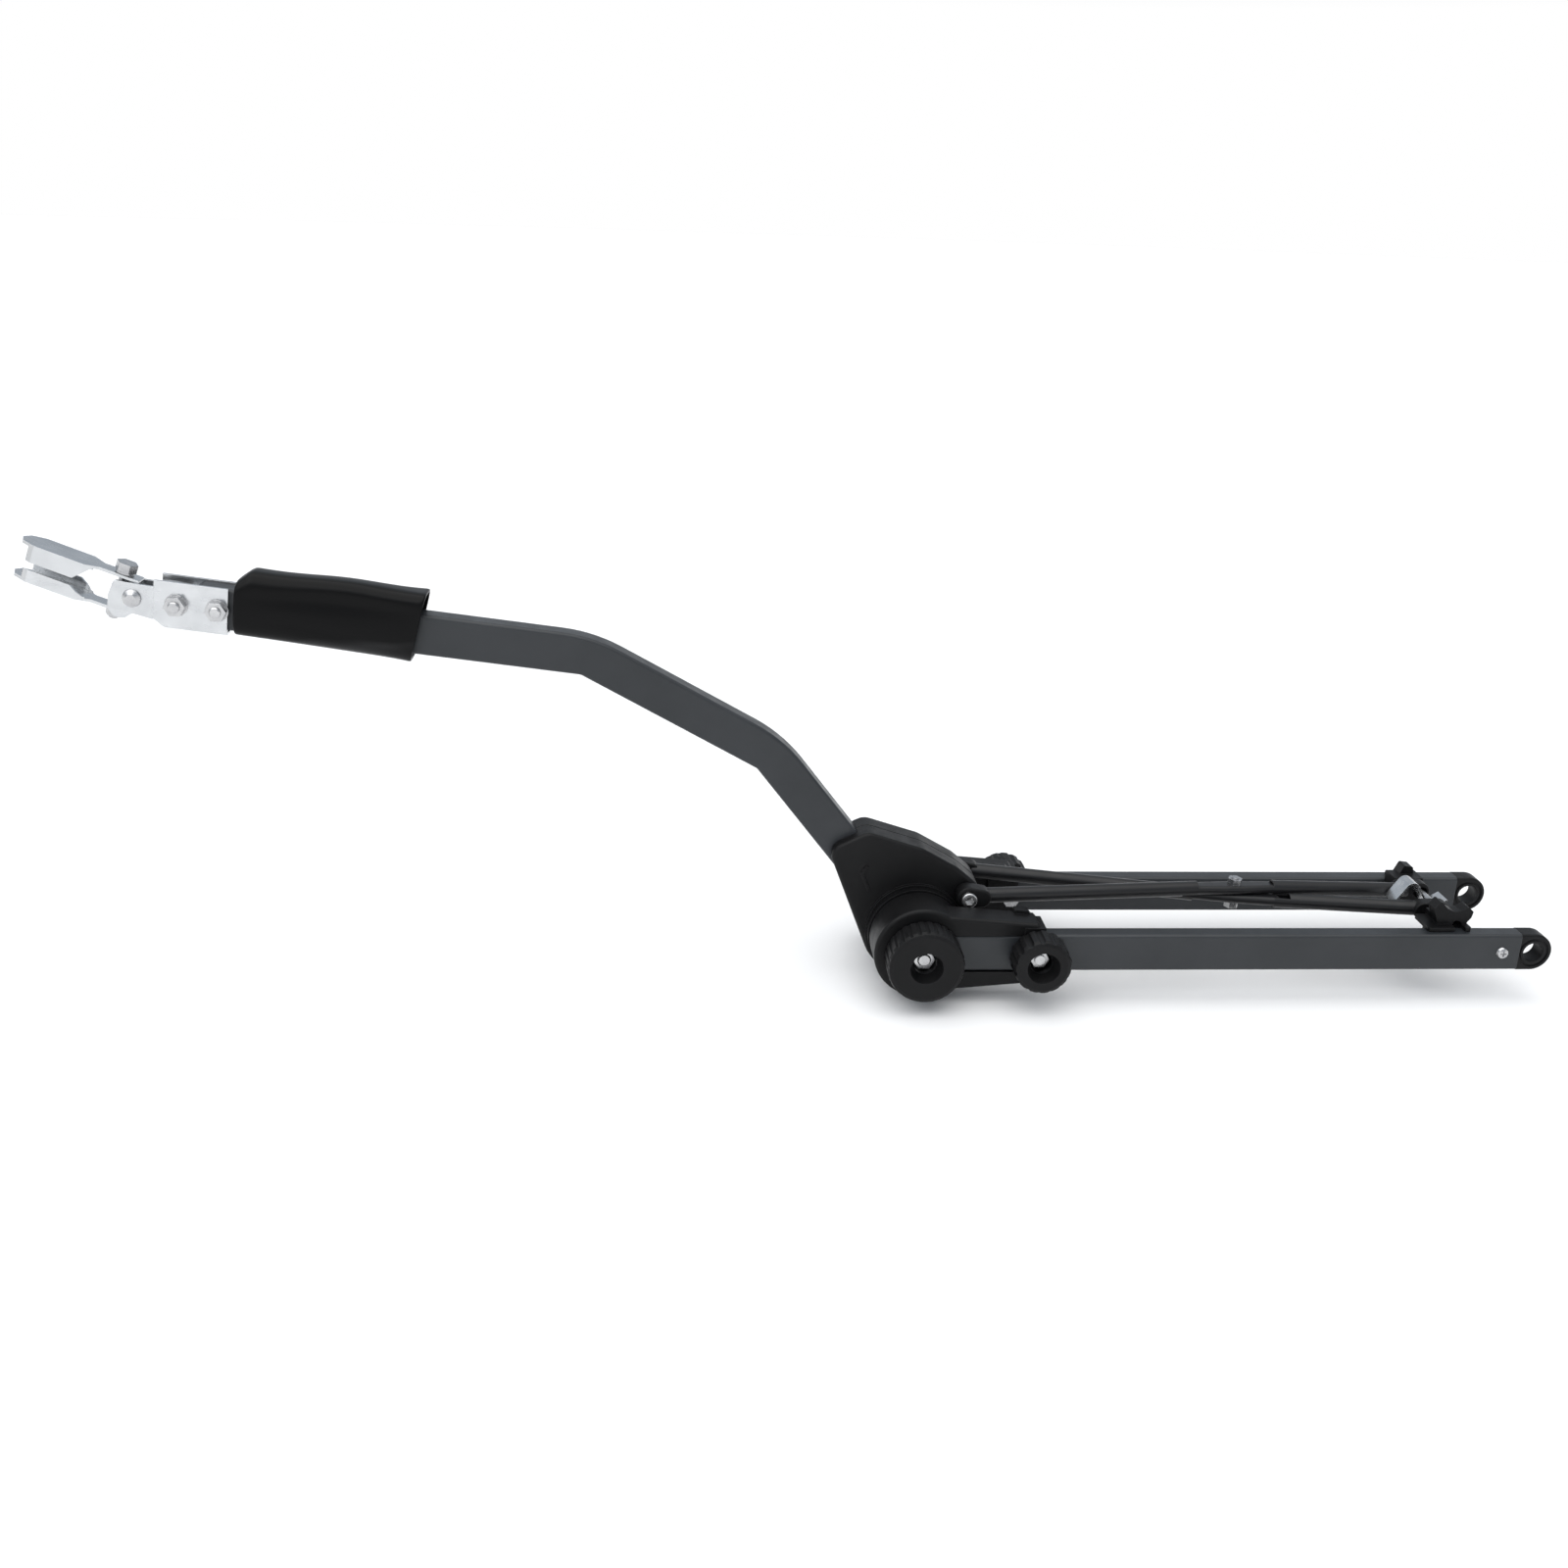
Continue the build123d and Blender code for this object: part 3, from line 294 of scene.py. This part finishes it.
def sleeve_ring(u, inset):
    """One ring of the loose sleeve; u runs from the clamp end to the open end."""
    slack = sin(pi * u) ** 0.7
    flare = max(0.0, (u - FLARE_START) / (1 - FLARE_START)) ** 2
    cut = CUT_DEPTH * max(0.0, 1 - u / CUT_SHARE)
    sag = SAG * sin(2.2 * pi * u + 0.5) * slack
    top = SLEEVE_TOP - cut - sag - inset
    bottom = SLEEVE_BOTTOM[0] * (1 - u) + SLEEVE_BOTTOM[1] * u - inset
    half_y = SLEEVE_WIDTH / 2 - NARROWING * slack - inset
    power = ROUNDNESS - FLARE_ROUNDNESS * flare
    crease = CREASE_HEIGHT + CREASE_SWING * sin(2.6 * u - 0.4)
    fold = FOLD_HEIGHT + FOLD_SWING * sin(4.2 * u + 0.9)
    points = []
    for i in range(AROUND):
        a = 2 * pi * i / AROUND
        c, s = cos(a), sin(a)
        side = 1 if c > 0 else -1
        y = half_y * abs(c) ** power
        z = (top if s > 0 else -bottom) * abs(s) ** power
        y -= CREASE_DEPTH * slack * exp(-((z - crease) / CREASE_WIDTH) ** 2)
        y -= FOLD_DEPTH * slack * exp(-((z - fold) / FOLD_WIDTH) ** 2)
        y += RIPPLE * sin(7 * u + 3 * s) * slack * abs(c)
        lean = END_LEAN * flare * z / bottom
        points.append(((u - 0.5) * SLEEVE_LENGTH + lean, side * y, z))
    return points


def sleeve_stations():
    """Along the outside, round the open rim, back along the inside, round the other rim."""
    rim = SLEEVE_WALL / 2
    reach = rim / SLEEVE_LENGTH
    angles = [k * pi / RIM_STEPS for k in range(1, RIM_STEPS)]
    turn = [(sin(a), rim * (1 - cos(a))) for a in angles]
    outer = [(i / ALONG, 0.0) for i in range(1, ALONG)]
    right = [(1 - (1 - out) * reach, inset) for out, inset in turn]
    inner = [(i / ALONG, SLEEVE_WALL) for i in range(ALONG - 1, 0, -1)]
    left = [((1 - out) * reach, 2 * rim - inset) for out, inset in turn]
    return outer + right + inner + left


def make_sleeve(material):
    """Closed thick-walled sleeve with rounded rims, in the place of its CAD solid."""
    low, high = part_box("rubber_sleeve")
    middle = (Vector(low) + Vector(high)) / 2
    mesh = bmesh.new()
    rings = []
    for u, inset in sleeve_stations():
        rings.append([mesh.verts.new(point) for point in sleeve_ring(u, inset)])
    for k, ring in enumerate(rings):
        after = rings[(k + 1) % len(rings)]
        for i in range(AROUND):
            j = (i + 1) % AROUND
            mesh.faces.new((ring[i], ring[j], after[j], after[i]))
    bmesh.ops.recalc_face_normals(mesh, faces=mesh.faces)
    mesh.transform(Matrix.Translation(middle) @ Matrix.Rotation(SLEEVE_TILT, 4, "Y"))
    data = bpy.data.meshes.new("sleeve_skin")
    mesh.to_mesh(data)
    mesh.free()
    data.polygons.foreach_set("use_smooth", [True] * len(data.polygons))
    data.materials.append(material)
    sleeve = bpy.data.objects.new("sleeve_skin", data)
    bpy.context.collection.objects.link(sleeve)
    smooth = sleeve.modifiers.new("smooth", "SUBSURF")
    smooth.levels = 1
    smooth.render_levels = 1
    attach(sleeve, "boom")
    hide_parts("rubber_sleeve")


# ------------------------------------------------------------------ studio
MIDDLE = (-0.5, 0, 0.1)
FLOOR_GAP = 0.0005
FLOOR_RADIUS = 30
WHITE = (1.0, 1.0, 1.0)
SKY = ((0.555, WHITE), (0.61, (0.46, 0.51, 0.57)), (0.80, (0.50, 0.54, 0.59)),
       (0.95, WHITE))  # share of the height from below to above, and colour
SUN_PLACE = (-1.2, -0.9, 3.0)
SUN_POWER = 2.1
SUN_SPREAD = 1.5
SIDE_PLACE = (-1.7, -1.5, 1.5)
SIDE_POWER = 5
SIDE_SIZE = 1.0


def make_floor():
    """Wide pale floor just under the object."""
    mesh = bmesh.new()
    bmesh.ops.create_circle(mesh, cap_ends=True, segments=64, radius=FLOOR_RADIUS)
    data = bpy.data.meshes.new("floor")
    mesh.to_mesh(data)
    mesh.free()
    floor = bpy.data.objects.new("floor", data)
    floor.location.z = CAD_BOX[0][2] - FLOOR_GAP
    bpy.context.collection.objects.link(floor)
    m = Nodes("floor")
    stops = ((NOISE_LOW, (0.86, 0.86, 0.86)), (NOISE_HIGH, (0.88, 0.88, 0.88)))
    m.link(m.ramp(m.noise(3, detail=2), stops), m.shader.inputs["Base Color"])
    m.set("Roughness", 0.9)
    m.set("Specular IOR Level", 0.1)
    data.materials.append(m.material)


def make_sky():
    """White below and at the horizon, blue-grey higher up, light again overhead."""
    world = bpy.data.worlds.new("world")
    world.use_nodes = True
    tree = world.node_tree
    place = tree.nodes.new("ShaderNodeTexCoord")
    split = tree.nodes.new("ShaderNodeSeparateXYZ")
    height = tree.nodes.new("ShaderNodeMapRange")
    height.inputs["From Min"].default_value = -1.0
    ramp = tree.nodes.new("ShaderNodeValToRGB")
    set_stops(ramp, SKY)
    tree.links.new(place.outputs["Generated"], split.inputs["Vector"])
    tree.links.new(split.outputs["Z"], height.inputs["Value"])
    tree.links.new(height.outputs["Result"], ramp.inputs["Fac"])
    tree.links.new(ramp.outputs["Color"], tree.nodes["Background"].inputs["Color"])
    bpy.context.scene.world = world


def make_light(kind, name, place, power, **values):
    """A light at a place, turned to the middle of the object."""
    data = bpy.data.lights.new(name, kind)
    data.energy = power
    for key, value in values.items():
        setattr(data, key, value)
    light = bpy.data.objects.new(name, data)
    light.location = place
    aim = Vector(MIDDLE) - Vector(place)
    light.rotation_euler = aim.to_track_quat("-Z", "Y").to_euler()
    bpy.context.collection.objects.link(light)


def make_studio():
    make_floor()
    make_sky()
    make_light("SUN", "key", SUN_PLACE, SUN_POWER, angle=SUN_SPREAD)
    make_light("AREA", "side", SIDE_PLACE, SIDE_POWER, size=SIDE_SIZE)


make_camera()
bpy.context.scene.view_settings.view_transform = "Standard"
MATERIALS = make_materials()
for part in frame["record"]["subparts"]:
    node = frame["nodes"][part["node"]]
    for slot in node.material_slots:
        slot.material = MATERIALS[part["material_slot"]]
make_sleeve(MATERIALS["sleeve_rubber"])
make_studio()
